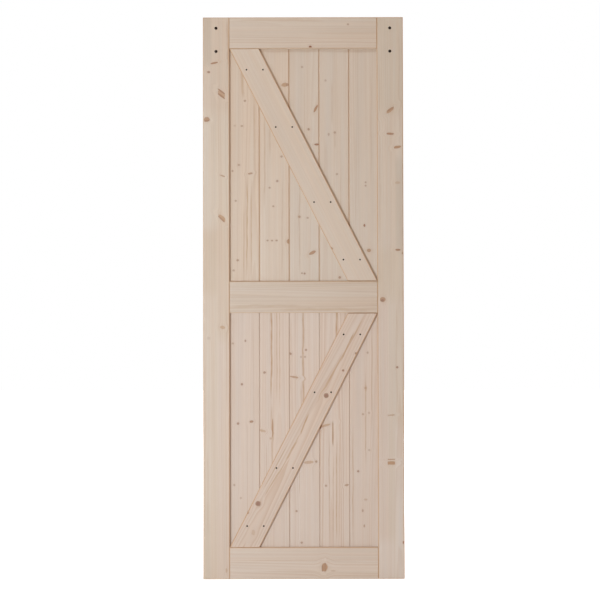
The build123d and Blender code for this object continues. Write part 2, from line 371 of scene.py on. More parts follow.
def knot_group():
    """One knot on top of those before it: mask, core, halo, warmth and the bend of the grain."""
    chain = {"Push": "Vector", "Mask": "Float", "Pale": "Float", "Halo": "Float", "Warm": "Float"}
    own = {
        "Place": "Vector", "Stave": "Float", "Centre": "Vector", "Slant": "Vector",
        "Half size": "Vector", "Tilt": "Float", "Strength": "Float", "Warmth": "Float",
        "Core": "Float", "Own stave": "Float",
    }
    g, source, result = new_group("knot", {**chain, **own}, chain)
    depth = g.calc("SUBTRACT", g.part(source["Place"], 1), g.part(source["Centre"], 1))
    centre = g.vector("ADD", source["Centre"], g.vector("SCALE", source["Slant"], depth))
    flat = g.vector("MULTIPLY", g.vector("SUBTRACT", source["Place"], centre), IN_THE_FACE)
    turning = {0: flat, 3: source["Tilt"]}
    turned = g.add("ShaderNodeVectorRotate", turning, rotation_type="Y_AXIS").outputs[0]
    scaled = g.vector("DIVIDE", turned, source["Half size"])
    own_noise = g.vector("SCALE", source["Centre"], KNOT_SEED_SCALE)
    uneven = g.noise(g.vector("ADD", scaled, own_noise), KNOT_UNEVEN_SCALE)
    distance = g.calc("ADD", g.vector("LENGTH", scaled), g.around(uneven, 0.0, KNOT_UNEVEN_SHARE))
    same = g.calc("COMPARE", source["Stave"], source["Own stave"], SAME_STAVE_LIMIT)
    strength = g.calc("MULTIPLY", source["Strength"], same)
    mask = g.calc("MULTIPLY", g.ramp(distance, *KNOT_EDGE_SHARES), strength)
    halo = g.calc("MULTIPLY", g.ramp(distance, *KNOT_HALO_SHARES), strength)
    push = g.vector("SCALE", flat, g.calc("MULTIPLY", g.ramp(distance, *KNOT_BEND_SHARES), KNOT_BEND))
    rings = g.calc("PINGPONG", g.calc("MULTIPLY", distance, KNOT_RING_COUNT), KNOT_HALF_RING)
    ring_pale = g.around(rings, KNOT_RING_PALENESS, KNOT_RING_SPREAD)
    pale = g.calc("ADD", g.ramp(distance, *KNOT_CORE_SHARES, KNOT_RIM_PALENESS), ring_pale)
    g.put(result.inputs["Push"], g.vector("ADD", source["Push"], push))
    g.put(result.inputs["Mask"], g.calc("MAXIMUM", source["Mask"], mask))
    g.put(result.inputs["Halo"], g.calc("MAXIMUM", source["Halo"], halo))
    inside = g.calc("MULTIPLY", g.ramp(distance, *KNOT_REACH_SHARES), same)
    core = g.calc("MULTIPLY", pale, source["Core"])
    g.put(result.inputs["Pale"], g.mix(inside, source["Pale"], core))
    g.put(result.inputs["Warm"], g.mix(inside, source["Warm"], source["Warmth"]))
    return g.tree


def streak_group():
    """One streak on top of those before it: resinous wood, and on the upper planks the painted shade
    under the top rail.
    """
    inputs = {
        "Amount": "Float", "Place": "Vector", "Start": "Vector", "Along": "Vector",
        "Across": "Vector", "Length": "Float", "Half width": "Float", "Strength": "Float",
    }
    g, source, result = new_group("streak", inputs, {"Amount": "Float"})
    offset = g.vector("SUBTRACT", source["Place"], source["Start"])
    along = g.vector("DOT_PRODUCT", offset, source["Along"])
    share = g.calc("DIVIDE", along, source["Length"])
    line = g.join(along, g.part(source["Start"], 0))
    wander = g.around(g.noise(line, STREAK_WANDER_SCALE, detail=2.0), 0.0, STREAK_WANDER_SHARE)
    side = g.calc("DIVIDE", g.vector("DOT_PRODUCT", offset, source["Across"]), source["Half width"])
    band = g.ramp(g.calc("ABSOLUTE", g.calc("ADD", side, wander)), *STREAK_EDGE_SHARES)
    rise = g.ramp(share, 0.0, STREAK_END_SHARE)
    fall = g.ramp(share, 1.0, 1 - STREAK_END_SHARE)
    ends = g.calc("MULTIPLY", rise, fall)
    patchy = g.around(g.noise(line, STREAK_PATCH_SCALE), STREAK_PATCH_SHARE, STREAK_PATCH_SPREAD_SHARE)
    strength = g.calc("MULTIPLY", source["Strength"], patchy)
    amount = g.calc("MULTIPLY", g.calc("MULTIPLY", band, ends), strength)
    g.put(result.inputs["Amount"], g.calc("MAXIMUM", source["Amount"], amount))
    return g.tree


def ring_group():
    """Growth rings round the heart of the tree: dark late wood that ends each ring, and uneven bands."""
    inputs = {
        "Local": "Vector", "Heart": "Vector", "Taper": "Float", "Ring width": "Float", "Seed": "Float",
    }
    outputs = {"Late": "Float", "Band": "Float"}
    g, source, result = new_group("growth_rings", inputs, outputs)
    moved = g.vector("ADD", source["Local"], g.join(source["Seed"], source["Seed"]))
    slow = g.stretched_noise(moved, RING_WANDER_SCALE, detail=2.0)
    quick = g.stretched_noise(moved, FIBRE_WANDER_SCALE)
    from_heart = g.vector("SUBTRACT", source["Local"], source["Heart"])
    radius = g.vector("LENGTH", g.vector("MULTIPLY", from_heart, ACROSS_THE_GRAIN))
    radius = g.calc("MULTIPLY_ADD", g.part(source["Local"], 2), source["Taper"], radius)
    radius = g.calc("ADD", radius, g.around(slow, 0.0, RING_WANDER))
    radius = g.calc("ADD", radius, g.around(quick, 0.0, FIBRE_WANDER))
    count = g.calc("DIVIDE", radius, source["Ring width"])
    share = g.calc("FRACT", count)
    year = g.random(g.calc("ADD", g.calc("FLOOR", count), source["Seed"]))
    late = g.calc("MULTIPLY", g.ramp(share, *LATE_START_SHARES), g.ramp(share, *LATE_END_SHARES))
    darkness = g.around(year, YEAR_SHARE, YEAR_SPREAD_SHARE)
    g.put(result.inputs["Late"], g.calc("MULTIPLY", late, darkness))
    along = g.calc("MULTIPLY", g.part(source["Local"], 2), BAND_LENGTH_SHARE)
    band_place = g.join(radius, source["Seed"], along)
    g.put(result.inputs["Band"], g.noise(band_place, BAND_SCALE, detail=3.0))
    return g.tree


KNOT = knot_group()
STREAK = streak_group()
RINGS = ring_group()


def camera_axes():
    """Directions to the right of the picture, up it and into it."""
    level = Vector((1, 0, 0))
    ahead = Vector((0, math.cos(CAMERA_PITCH), math.sin(CAMERA_PITCH)))
    steep = level.cross(ahead)
    right = level * math.cos(CAMERA_ROLL) + steep * math.sin(CAMERA_ROLL)
    return right, right.cross(ahead), ahead


def face_point(pixel_x, pixel_y, depth):
    """Point of the door at that depth which the photograph shows at a pixel."""
    focal_pixels = IMAGE_SIDE * LENS / SENSOR_WIDTH
    right, up, ahead = camera_axes()
    middle = IMAGE_SIDE / 2
    ray = ahead + right * ((pixel_x - middle) / focal_pixels) + up * ((middle - pixel_y) / focal_pixels)
    return CAMERA_PLACE + ray * ((depth - CAMERA_PLACE.y) / ray.y)


# Width of one pixel of the photograph, halfway through the door
PIXEL = (face_point(1, 0, 0) - face_point(0, 0, 0)).length


class Board:
    """How one board was cut: the seed of its noise, the lean of its grain from upright in degrees, a
    glue line and the width of its staves or else the place of the tree's heart, the width, taper and
    contrast of its rings, the tint of its wood, and how strong the painted warm shade at its rims is."""

    def __init__(self, seed, lean=0.0, stave_line=None, stave_width=STAVE_WIDTH, heart=None,
                 ring=RING_WIDTH, taper=0.004, contrast=0.4, light=1.0, warmth=0.0, rose=0.0, edge=0.75):
        self.seed = seed
        self.lean = math.radians(lean)
        self.stave_line = stave_line
        self.stave_width = stave_width
        self.heart = heart
        self.ring = ring
        self.taper = taper
        self.contrast = contrast
        self.tint = light * Vector((1 + warmth, 1 - rose, 1 - warmth))
        self.edge = edge


# A stave line is a pixel of the photograph on one glue line of the board, and a heart lies across the
# grain and behind the board's middle
BRACE_LEAN = 26.85
# Each board's rim setting is the strength of the painted warm shade at its rims and arrises
BOARDS = {
    "left_stile": Board(stave_line=(218.0, 300.0), light=0.975, warmth=0.018, seed=1.3),
    "right_stile": Board(stave_line=(387.2, 300.0), light=0.995, edge=1.0, seed=2.7),
    "top_rail": Board(lean=90, stave_line=(300.0, 33.0), contrast=0.6, light=1.005, warmth=-0.008,
                      edge=0.7, seed=3.1),
    "middle_rail": Board(lean=90, stave_line=(300.0, 296.5), contrast=0.6, light=0.945, warmth=0.012,
                         edge=0.7, seed=4.9),
    "bottom_rail": Board(lean=90, stave_line=(300.0, 560.6), stave_width=BROAD_STAVE_WIDTH, contrast=0.6,
                         light=1.02, rose=0.01, edge=0.7, seed=5.2),
    "upper_plank_1": Board(heart=(0.04, 0.08), contrast=0.55, warmth=0.025, edge=0.5, seed=6.4),
    "upper_plank_2": Board(heart=(-0.05, 0.07), warmth=0.015, edge=0.5, seed=7.7),
    "upper_plank_3": Board(heart=(0.05, 0.08), warmth=-0.01, edge=0.5, seed=8.2),
    "upper_plank_4": Board(heart=(-0.03, 0.09), warmth=-0.01, edge=0.5, seed=9.5),
    "upper_plank_5": Board(heart=(-0.06, 0.07), warmth=-0.01, edge=0.5, seed=10.1),
    # Lower planks: lighter and rosier, partly their own tone and partly painted light standing in for
    # the brighter, pinker light low on the door
    "lower_plank_1": Board(heart=(0.05, 0.08), rose=0.02, edge=0.1, seed=11.8),
    "lower_plank_2": Board(heart=(0.02, 0.07), ring=BROAD_RING_WIDTH, contrast=0.75, light=1.02,
                           rose=0.02, edge=0.1, seed=12.6),
    "lower_plank_3": Board(heart=(-0.05, 0.07), contrast=0.5, light=1.04, warmth=-0.01, rose=0.02,
                           edge=0.1, seed=13.3),
    "lower_plank_4": Board(heart=(-0.01, 0.08), ring=BROADEST_RING_WIDTH, contrast=0.75, light=1.03,
                           rose=0.02, edge=0.1, seed=14.9),
    "lower_plank_5": Board(heart=(0.05, 0.07), light=1.01, rose=0.02, edge=0.1, seed=15.4),
    "upper_brace": Board(lean=-BRACE_LEAN, heart=(0.1, 0.06), contrast=0.3, warmth=0.01, edge=1.0,
                         seed=16.7),
    "lower_brace": Board(lean=BRACE_LEAN, heart=(0.0, 0.075), ring=BROADEST_RING_WIDTH, taper=0.01,
                         contrast=0.8, light=0.98, warmth=0.02, rose=0.02, edge=1.0, seed=17.2),
}

# Knots by board, at pixels of the photograph: x, y, half length and half breadth, then the tilt in
# degrees, how strongly the knot shows and how orange it is
KNOT_PIXELS = {
    "left_stile": [
        (214.2, 63.0, 3.8, 0.8, 11, 0.95, 0.3),
        (208.6, 72.1, 1.5, 1.1, 0, 0.68, 0.2),
        (221.3, 93.7, 4.6, 2.6, -36, 0.6, 1.0),
        (221.4, 91.4, 4.4, 0.7, -37, 0.9, 0.2),
        (221.4, 96.1, 4.4, 0.8, -37, 0.9, 0.2),
        (206.8, 119.4, 2.9, 2.2, 5, 0.75, 0.6),
        (206.8, 120.9, 2.4, 0.8, 5, 0.9, 0.2),
        (222.6, 175.9, 2.6, 0.8, -20, 0.6, 0.4),
        (222.2, 218.0, 4.6, 1.8, -44, 0.7, 1.0),
        (221.2, 218.9, 4.4, 0.7, -44, 0.85, 0.3),
        (222.6, 327.4, 2.6, 1.6, -10, 0.5, 1.0),
        (208.6, 338.2, 1.5, 1.5, 0, 0.17, 0.2),
        (226.3, 570.5, 1.2, 2.2, 0, 0.4, 1.0),
    ],
    "right_stile": [
        (389.9, 110.3, 4.8, 1.7, 36, 0.7, 0.9),
        (390.8, 108.9, 3.8, 0.7, 36, 0.85, 0.2),
        (389.8, 133.7, 4.0, 1.0, -3, 0.95, 0.25),
        (397.3, 147.0, 3.8, 1.3, 12, 0.85, 0.7),
        (397.6, 182.7, 2.6, 1.4, 0, 0.35, 1.0),
        (398.0, 249.8, 2.5, 0.9, 0, 1.0, 0.2),
        (402.5, 253.2, 1.1, 1.1, 0, 0.51, 0.2),
        (382.7, 299.5, 2.7, 2.4, 0, 0.75, 0.5),
        (382.2, 300.5, 1.5, 1.0, 20, 0.7, 0.1),
        (397.2, 367.3, 1.2, 1.1, 0, 0.72, 0.2),
        (391.5, 415.1, 3.6, 0.7, 4, 0.5, 0.5),
        (391.2, 463.0, 7.5, 1.6, 0, 0.8, 0.8),
        (391.2, 459.4, 7.5, 0.5, 0, 0.7, 0.4),
        (403.2, 542.4, 1.3, 1.3, 0, 0.77, 0.2),
    ],
    "top_rail": [
        (348.0, 24.3, 1.1, 1.1, 0, 0.42, 0.2),
        (310.3, 47.0, 1.4, 1.4, 0, 1.0, 0.1),
    ],
    "bottom_rail": [
        (324.6, 567.4, 2.9, 4.3, 0, 0.8, 0.9),
        (322.4, 568.8, 0.7, 2.8, 0, 0.85, 0.3),
        (325.2, 567.0, 0.5, 3.4, 0, 0.6, 0.3),
        (333.1, 570.8, 2.2, 0.7, 0, 0.35, 0.6),
    ],
    "upper_plank_1": [
        (244.9, 100.8, 1.3, 1.1, 0, 0.47, 0.2),
        (234.7, 125.7, 1.1, 1.0, 0, 0.21, 0.2),
        (241.9, 126.0, 1.3, 1.1, 0, 0.42, 0.3),
        (238.9, 164.9, 1.2, 1.1, 0, 0.42, 0.2),
        (232.4, 171.0, 1.1, 1.0, 0, 0.42, 0.2),
        (250.3, 173.5, 2.3, 0.9, 12, 0.7, 0.3),
        (235.7, 200.8, 1.2, 1.0, 0, 0.42, 0.2),
        (237.7, 260.2, 1.3, 1.1, 0, 0.51, 0.2),
        (233.6, 270.4, 1.2, 1.1, 0, 0.42, 0.2),
    ],
    "upper_plank_2": [
        (285.0, 84.8, 3.7, 2.0, 4, 0.65, 0.9),
        (287.4, 84.9, 1.3, 1.3, 0, 0.45, 0.4),
        (281.5, 156.5, 1.2, 1.1, 0, 0.51, 0.2),
        (277.3, 181.0, 1.3, 1.2, 0, 0.51, 0.2),
        (269.6, 187.7, 1.1, 1.0, 0, 0.42, 0.2),
        (273.3, 206.3, 1.2, 1.0, 0, 0.42, 0.2),
        (267.5, 240.5, 1.1, 0.9, 0, 0.47, 0.2),
        (272.0, 240.6, 1.1, 0.9, 0, 0.47, 0.2),
        (276.6, 240.5, 1.2, 0.9, 0, 0.51, 0.2),
        (288.4, 241.4, 1.7, 2.2, 0, 0.75, 0.5),
    ],
    "upper_plank_3": [
        (302.1, 67.0, 1.2, 1.2, 0, 0.34, 0.2),
        (315.7, 108.6, 3.9, 1.1, 62, 0.9, 0.5),
        (308.6, 129.3, 1.2, 1.2, 0, 0.59, 0.3),
        (316.7, 144.4, 2.2, 0.9, 0, 1.0, 0.0),
        (299.4, 216.8, 1.3, 1.2, 0, 0.51, 0.4),
        (307.6, 217.8, 1.2, 1.0, 0, 0.42, 0.3),
        (312.4, 252.7, 3.7, 1.5, 28, 0.85, 0.5),
        (302.0, 273.2, 0.9, 0.9, 0, 0.51, 0.2),
        (304.6, 273.5, 1.0, 1.0, 0, 0.64, 0.2),
    ],
    "upper_plank_4": [
        (325.5, 80.5, 1.1, 1.2, 0, 0.3, 0.2),
        (328.7, 134.4, 1.0, 1.5, 0, 0.34, 0.2),
        (334.8, 132.5, 1.2, 1.2, 0, 0.42, 0.2),
        (337.0, 174.1, 1.1, 1.1, 0, 0.42, 0.2),
        (339.8, 277.4, 1.2, 1.3, 0, 0.64, 0.3),
    ],
    "upper_plank_5": [
        (365.6, 182.3, 1.0, 1.0, 0, 0.42, 0.2),
        (365.6, 185.6, 1.0, 1.0, 0, 0.42, 0.2),
        (364.4, 225.4, 1.0, 1.5, 0, 0.85, 0.3),
        (369.0, 250.4, 2.0, 1.6, 0, 0.75, 0.5),
    ],
    "lower_plank_1": [
        (245.4, 340.8, 1.0, 1.2, 0, 0.51, 0.2),
        (232.8, 343.5, 1.1, 1.0, 0, 0.42, 0.3),
        (241.9, 384.3, 1.2, 1.2, 0, 0.64, 0.2),
        (238.0, 423.5, 1.3, 1.2, 0, 0.64, 0.2),
        (251.5, 421.6, 1.9, 1.1, 5, 0.85, 0.2),
        (234.3, 485.0, 1.1, 1.2, 0, 0.38, 0.2),
        (240.9, 498.0, 1.2, 1.0, 0, 0.3, 0.4),
    ],
    "lower_plank_2": [
        (264.6, 372.5, 1.4, 1.2, 20, 0.59, 0.2),
        (262.4, 430.7, 3.6, 1.2, -15, 0.45, 1.0),
        (272.7, 428.0, 0.7, 9.0, 0, 0.8, 0.8),
        (270.8, 438.5, 1.1, 1.2, 0, 0.38, 0.8),
    ],
    "lower_plank_3": [
        (290.5, 353.8, 1.2, 1.2, 0, 0.64, 0.2),
        (294.0, 377.0, 4.1, 1.0, -10, 0.65, 0.6),
        (306.0, 349.9, 1.2, 1.2, 0, 0.51, 0.2),
        (301.0, 356.9, 1.0, 1.0, 0, 0.3, 0.2),
        (305.0, 356.9, 1.0, 1.0, 0, 0.38, 0.2),
        (308.9, 462.3, 5.0, 1.5, 5, 0.5, 1.0),
        (316.2, 461.6, 1.1, 1.1, 0, 0.55, 0.3),
        (296.6, 511.1, 1.2, 1.1, 0, 0.55, 0.3),
        (301.7, 542.6, 1.2, 1.1, 0, 0.51, 0.3),
    ],
    "lower_plank_4": [
        (325.7, 425.4, 4.8, 1.2, 16, 0.55, 1.0),
        (320.4, 426.3, 1.3, 2.4, 0, 0.9, 0.3),
        (332.9, 433.5, 0.7, 12.0, 0, 0.8, 0.6),
        (326.0, 485.7, 1.2, 1.1, -20, 0.47, 0.3),
        (346.7, 485.1, 2.0, 1.0, 12, 0.6, 0.3),
    ],
    "lower_plank_5": [
        (367.6, 352.6, 1.1, 1.2, 0, 0.38, 0.3),
        (365.4, 388.0, 1.1, 1.2, 0, 0.34, 0.6),
        (363.1, 414.2, 1.1, 1.1, 0, 0.38, 0.4),
        (369.1, 412.9, 1.1, 1.1, 0, 0.3, 0.4),
        (369.3, 450.1, 1.2, 1.1, 0, 0.3, 0.2),
        (358.2, 471.3, 1.2, 1.1, 0, 0.59, 0.2),
        (365.8, 499.6, 1.7, 1.0, 0, 0.35, 0.6),
        (362.8, 510.6, 0.9, 1.5, 0, 0.47, 0.3),
        (364.3, 525.9, 0.9, 1.5, 0, 0.51, 0.5),
    ],
    "upper_brace": [
        (331.5, 248.5, 1.3, 1.3, 0, 0.68, 0.3),
    ],
    "lower_brace": [
        (326.2, 395.6, 2.5, 2.4, 0, 0.75, 0.0),
        (326.4, 395.8, 1.5, 1.4, 0, 0.75, 0.0),
        (258.1, 503.6, 2.6, 2.5, 0, 0.75, 0.0),
        (258.2, 503.8, 1.5, 1.4, 0, 0.75, 0.0),
        (343.1, 370.4, 1.2, 1.1, 0, 0.77, 0.3),
        (355.9, 353.4, 1.2, 1.2, 0, 0.68, 0.3),
        (247.5, 512.6, 1.3, 1.3, 0, 0.68, 0.3),
        (253.3, 532.5, 1.8, 2.8, 0, 0.3, 1.0),
    ],
}

# Streaks of resin-rich wood by board, at pixels of the photograph: the two ends, the half width and the
# strength
STREAK_PIXELS = {
    "upper_plank_1": [
        (241.0, 68.0, 243.5, 100.0, 2.0, 0.52),
        (254.5, 88.0, 254.5, 200.0, 1.6, 0.45),
        (247.5, 165.0, 246.5, 284.0, 1.2, 0.68),
        (251.5, 180.0, 251.0, 284.0, 0.9, 0.6),
        (244.0, 200.0, 243.5, 284.0, 0.7, 0.45),
    ],
    "upper_plank_2": [
        (264.5, 105.0, 264.5, 215.0, 1.1, 0.48),
        (270.0, 112.0, 269.5, 160.0, 1.3, 0.36),
        (282.5, 170.0, 282.0, 284.0, 0.9, 0.36),
    ],
    "upper_plank_3": [
        (299.2, 150.0, 299.5, 284.0, 1.1, 0.45),
        (304.5, 80.0, 304.5, 170.0, 0.8, 0.25),
    ],
    "upper_plank_4": [
        (331.8, 78.0, 332.2, 128.0, 0.8, 0.4),
        (334.8, 130.0, 334.8, 150.0, 0.8, 0.35),
        (341.0, 160.0, 340.0, 260.0, 0.8, 0.25),
    ],
    "upper_plank_5": [
        (371.0, 60.0, 371.5, 190.0, 1.2, 0.25),
        (356.0, 120.0, 356.0, 230.0, 0.9, 0.2),
    ],
    "lower_plank_1": [
        (253.5, 312.0, 253.5, 440.0, 1.0, 0.25),
        (247.0, 400.0, 247.5, 545.0, 0.9, 0.25),
    ],
    "lower_plank_2": [
        (271.2, 288.0, 271.6, 408.0, 1.4, 0.85),
        (276.6, 288.0, 277.0, 408.0, 0.8, 0.65),
        (279.4, 288.0, 279.8, 414.0, 0.7, 0.6),
        (271.5, 395.0, 272.5, 500.0, 1.0, 0.57),
        (266.5, 440.0, 266.0, 500.0, 0.8, 0.46),
    ],
    "lower_plank_3": [
        (303.0, 288.0, 303.4, 436.0, 1.4, 0.8),
        (301.0, 380.0, 301.5, 430.0, 0.8, 0.57),
        (313.0, 380.0, 313.0, 500.0, 0.8, 0.29),
        (299.5, 440.0, 299.0, 500.0, 0.9, 0.4),
    ],
    "lower_plank_4": [
        (336.6, 298.0, 336.6, 344.0, 1.3, 1.0),
        (345.0, 308.0, 344.5, 330.0, 1.0, 0.57),
        (329.0, 420.0, 329.6, 552.0, 0.9, 0.57),
        (333.4, 440.0, 333.2, 552.0, 0.8, 0.57),
        (336.8, 430.0, 336.4, 552.0, 1.0, 0.69),
        (339.5, 430.0, 339.2, 552.0, 0.8, 0.52),
        (343.5, 400.0, 343.5, 520.0, 0.7, 0.29),
    ],
    "lower_plank_5": [
        (365.5, 365.0, 365.8, 470.0, 0.9, 0.63),
        (353.0, 420.0, 353.0, 552.0, 1.0, 0.54),
        (372.0, 320.0, 372.0, 440.0, 1.0, 0.45),
    ],
    "lower_brace": [
        (309.5, 412.0, 299.5, 437.0, 1.1, 1.0),
        (370.0, 306.0, 312.0, 412.0, 1.1, 0.74),
        (355.0, 330.0, 340.0, 364.0, 1.1, 1.0),
        (345.0, 352.0, 322.0, 392.0, 0.8, 0.68),
        (305.0, 425.0, 270.0, 490.0, 0.8, 0.68),
        (298.0, 438.0, 285.0, 462.0, 1.4, 0.81),
        (290.0, 440.0, 262.0, 492.0, 0.8, 0.61),
        (335.0, 345.0, 300.0, 405.0, 0.7, 0.47),
        (283.0, 465.0, 262.0, 500.0, 0.9, 0.68),
    ],
    "bottom_rail": [
        (235.0, 560.2, 372.0, 561.2, 0.5, 0.5),
        (250.0, 571.0, 345.0, 571.6, 0.6, 0.25),
    ],
    "middle_rail": [
        (222.0, 306.2, 306.0, 305.6, 1.7, 0.4),
        (262.0, 309.4, 390.0, 309.6, 2.4, 0.4),
    ],
    "top_rail": [
        (228.0, 20.5, 330.0, 21.0, 1.2, 0.3),
        (310.0, 33.0, 372.0, 33.4, 0.6, 0.25),
    ],
    "left_stile": [
        (227.5, 17.0, 227.5, 70.0, 1.6, 0.4),
        (226.0, 300.0, 226.5, 420.0, 0.9, 0.25),
        (205.0, 320.0, 205.0, 560.0, 1.0, 0.25),
        (208.0, 440.0, 208.0, 540.0, 0.8, 0.25),
    ],
    "right_stile": [
        (399.0, 20.0, 399.5, 160.0, 1.3, 0.25),
        (396.5, 290.0, 397.0, 430.0, 1.0, 0.25),
        (379.5, 50.0, 380.0, 260.0, 0.9, 0.3),
    ],
}

# Painted shade across the heads of the upper planks, under the top rail, drawn as a streak in the colour
# of resin; it runs on from board to board
HEAD_SHADE_PIXELS = (140.0, 50.3, 460.0, 50.3, 2.6, 0.38)
for board_name, streaks in STREAK_PIXELS.items():
    if board_name.startswith("upper_plank"):
        streaks.append(HEAD_SHADE_PIXELS)

# Lengths glued into the stiles, at pixels of the photograph: two corners and the tint
LENGTH_PIXELS = {
    "left_stile": [
        (200.0, 0.0, 211.0, 66.0, GREY_TINT),
        (200.0, 112.0, 232.0, 226.0, STRAW_TINT),
        (200.0, 232.0, 217.0, 294.0, WARM_TINT),
        (217.5, 340.0, 232.0, 600.0, PALE_TINT),
        (200.0, 505.0, 210.0, 600.0, DULL_TINT),
    ],
    "right_stile": [
        (376.0, 0.0, 407.0, 112.0, DULL_TINT),
        (395.5, 158.0, 407.0, 250.0, GREY_TINT),
        (376.0, 250.0, 407.0, 300.0, WARM_TINT),
        (376.0, 300.0, 389.0, 540.0, ROSE_TINT),
        (395.0, 425.0, 407.0, 600.0, PALE_TINT),
        (376.0, 540.0, 395.0, 600.0, PALE_TINT),
    ],
}


def across_grain(point, middle, lean):
    """How far a point lies across the grain from the middle of its board."""
    offset = point - middle
    return offset.x * math.cos(lean) - offset.z * math.sin(lean)


def add_knots(g, place, stave, stave_at, name, face):
    """Chain of a board's knots; returns the outputs of the last one, or None."""
    chain = None
    for index, knot in enumerate(KNOT_PIXELS.get(name, ())):
        x, y, half_long, half_broad, tilt, strength, warmth = knot
        centre = face_point(x, y, face)
        swing = index * KNOT_SLANT_TURN
        inputs = {
            "Place": place,
            "Stave": stave,
            "Centre": centre,
            "Slant": (KNOT_SLANT * math.sin(swing), 0, KNOT_SLANT * math.cos(swing)),
            "Half size": (half_long * PIXEL, 1, half_broad * PIXEL),
            "Tilt": math.radians(tilt),
            "Strength": strength,
            "Warmth": warmth,
            "Core": float(max(half_long, half_broad) > PIN_LIMIT_PIXELS),
            "Own stave": stave_at(centre),
        }
        if chain:
            inputs.update({socket.name: socket for socket in chain})
        chain = g.group(KNOT, inputs)
    return chain


def add_streaks(g, place, name, face):
    """Chain of a board's streaks of resinous wood, with the painted shade under the top rail on the
    upper planks; returns how much of the wood they cover.
    """
    amount = 0.0
    for x0, y0, x1, y1, half_width, strength in STREAK_PIXELS.get(name, ()):
        start = face_point(x0, y0, face)
        run = face_point(x1, y1, face) - start
        along = run.normalized()
        inputs = {
            "Amount": amount,
            "Place": place,
            "Start": start,
            "Along": along,
            "Across": (along.z, 0, -along.x),
            "Length": run.length,
            "Half width": half_width * PIXEL,
            "Strength": strength,
        }
        amount = g.group(STREAK, inputs)["Amount"]
    return amount


def glued_lengths(g, place, colour, name, face):
    """Colour of a board once each length glued into it has its own tint."""
    for x0, y0, x1, y1, tint in LENGTH_PIXELS.get(name, ()):
        first = face_point(x0, y0, face)
        last = face_point(x1, y1, face)
        inside = 1.0
        for axis, start, end, soft in (
            (0, first.x, last.x, LENGTH_SOFT_ACROSS),
            (2, last.z, first.z, LENGTH_SOFT_ALONG),
        ):
            reach = g.part(place, axis)
            rise = g.ramp(reach, start - soft, start + soft)
            fall = g.ramp(reach, end + soft, end - soft)
            inside = g.calc("MULTIPLY", inside, g.calc("MULTIPLY", rise, fall))
        colour = g.blend(inside, colour, tint, "MULTIPLY")
    return colour


def new_material(name):
    """Material with a bare surface shader: its graph and the shader."""
    material = bpy.data.materials.new(name)
    material.use_nodes = True
    material.node_tree.nodes.clear()
    g = Graph(material.node_tree)
    shader = g.add("ShaderNodeBsdfPrincipled")
    output = g.add("ShaderNodeOutputMaterial")
    g.put(output.inputs["Surface"], shader.outputs[0])
    return material, g, shader


def screw_places(name):
    """Where the screws of a group stand, across the door and up it, found from their points."""
    near_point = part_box(name)[1].y - SCREW_RIM
    tips = [v.co for v in nodes[name].data.vertices if v.co.y > near_point]
    return sorted({(round(tip.x, SCREW_PLACE_DIGITS), round(tip.z, SCREW_PLACE_DIGITS)) for tip in tips})


def bore_places(name):
    """Holes drilled into the face of a board: across the door, up it, and the radius."""
    places = []
    for mount in frame["record"]["mounts"]:
        if mount["kind"] == "bolt_pattern" and name == mount["name"].split("_")[0] + "_stile":
            x, _, z = mount["pos_m"]
            half_spacing = mount["dims"]["spacing_y_mm"] * MILLIMETRE / 2
            radius = mount["dims"]["hole_r_mm"] * MILLIMETRE
            places += [(x, z - half_spacing, radius), (x, z + half_spacing, radius)]
    if f"{name}_screws" in nodes:
        places += [(x, z, SCREW_HEAD_RADIUS) for x, z in screw_places(f"{name}_screws")]
    return places


def bore_shade_mask(g, place, name):
    """Mask of the inside of the holes in a board, which gets painted shade, or None for a board without
    holes.
    """
    bore_shade = None
    for x, z, radius in bore_places(name):
        offset = g.vector("MULTIPLY", g.vector("SUBTRACT", place, (x, 0, z)), IN_THE_FACE)
        inside = g.calc("LESS_THAN", g.vector("LENGTH", offset), radius + BORE_MARGIN)
        bore_shade = inside if bore_shade is None else g.calc("MAXIMUM", bore_shade, inside)
    return bore_shade


def wood_tone(g, local, rings, fibre):
    """Brightness of the wood round 1, from its bands, its clouds and its fibres."""
    cloud = g.stretched_noise(local, CLOUD_SCALE, detail=2.0)
    banded = g.around(rings["Band"], 1.0, BAND_SHARE)
    tone = g.calc("MULTIPLY", banded, g.around(cloud, 1.0, CLOUD_SHARE))
    return g.calc("MULTIPLY", tone, g.around(fibre, 1.0, FIBRE_SHARE))


def toned(g, colour, local, tone):
    """Colour at that brightness, warmer where it is darker, with a slow change of hue."""
    hue = g.around(g.stretched_noise(local, HUE_SCALE), 1.0, HUE_SHARE)
    red = g.calc("MULTIPLY", g.calc("POWER", tone, RED_POWER), hue)
    blue = g.calc("DIVIDE", g.calc("POWER", tone, BLUE_POWER), hue)
    return g.blend(1.0, colour, g.join(red, tone, blue), "MULTIPLY")


def knotted(g, colour, knots, resin_and_head_shade):
    """Colour with the halos and the heartwood of a board's knots."""
    colour = g.blend(g.calc("MULTIPLY", knots["Halo"], HALO_SHARE), colour, resin_and_head_shade)
    heartwood = g.blend(knots["Warm"], g.blend(knots["Pale"], KNOT_DARK, KNOT_PALE), KNOT_ORANGE)
    return g.blend(knots["Mask"], colour, heartwood)


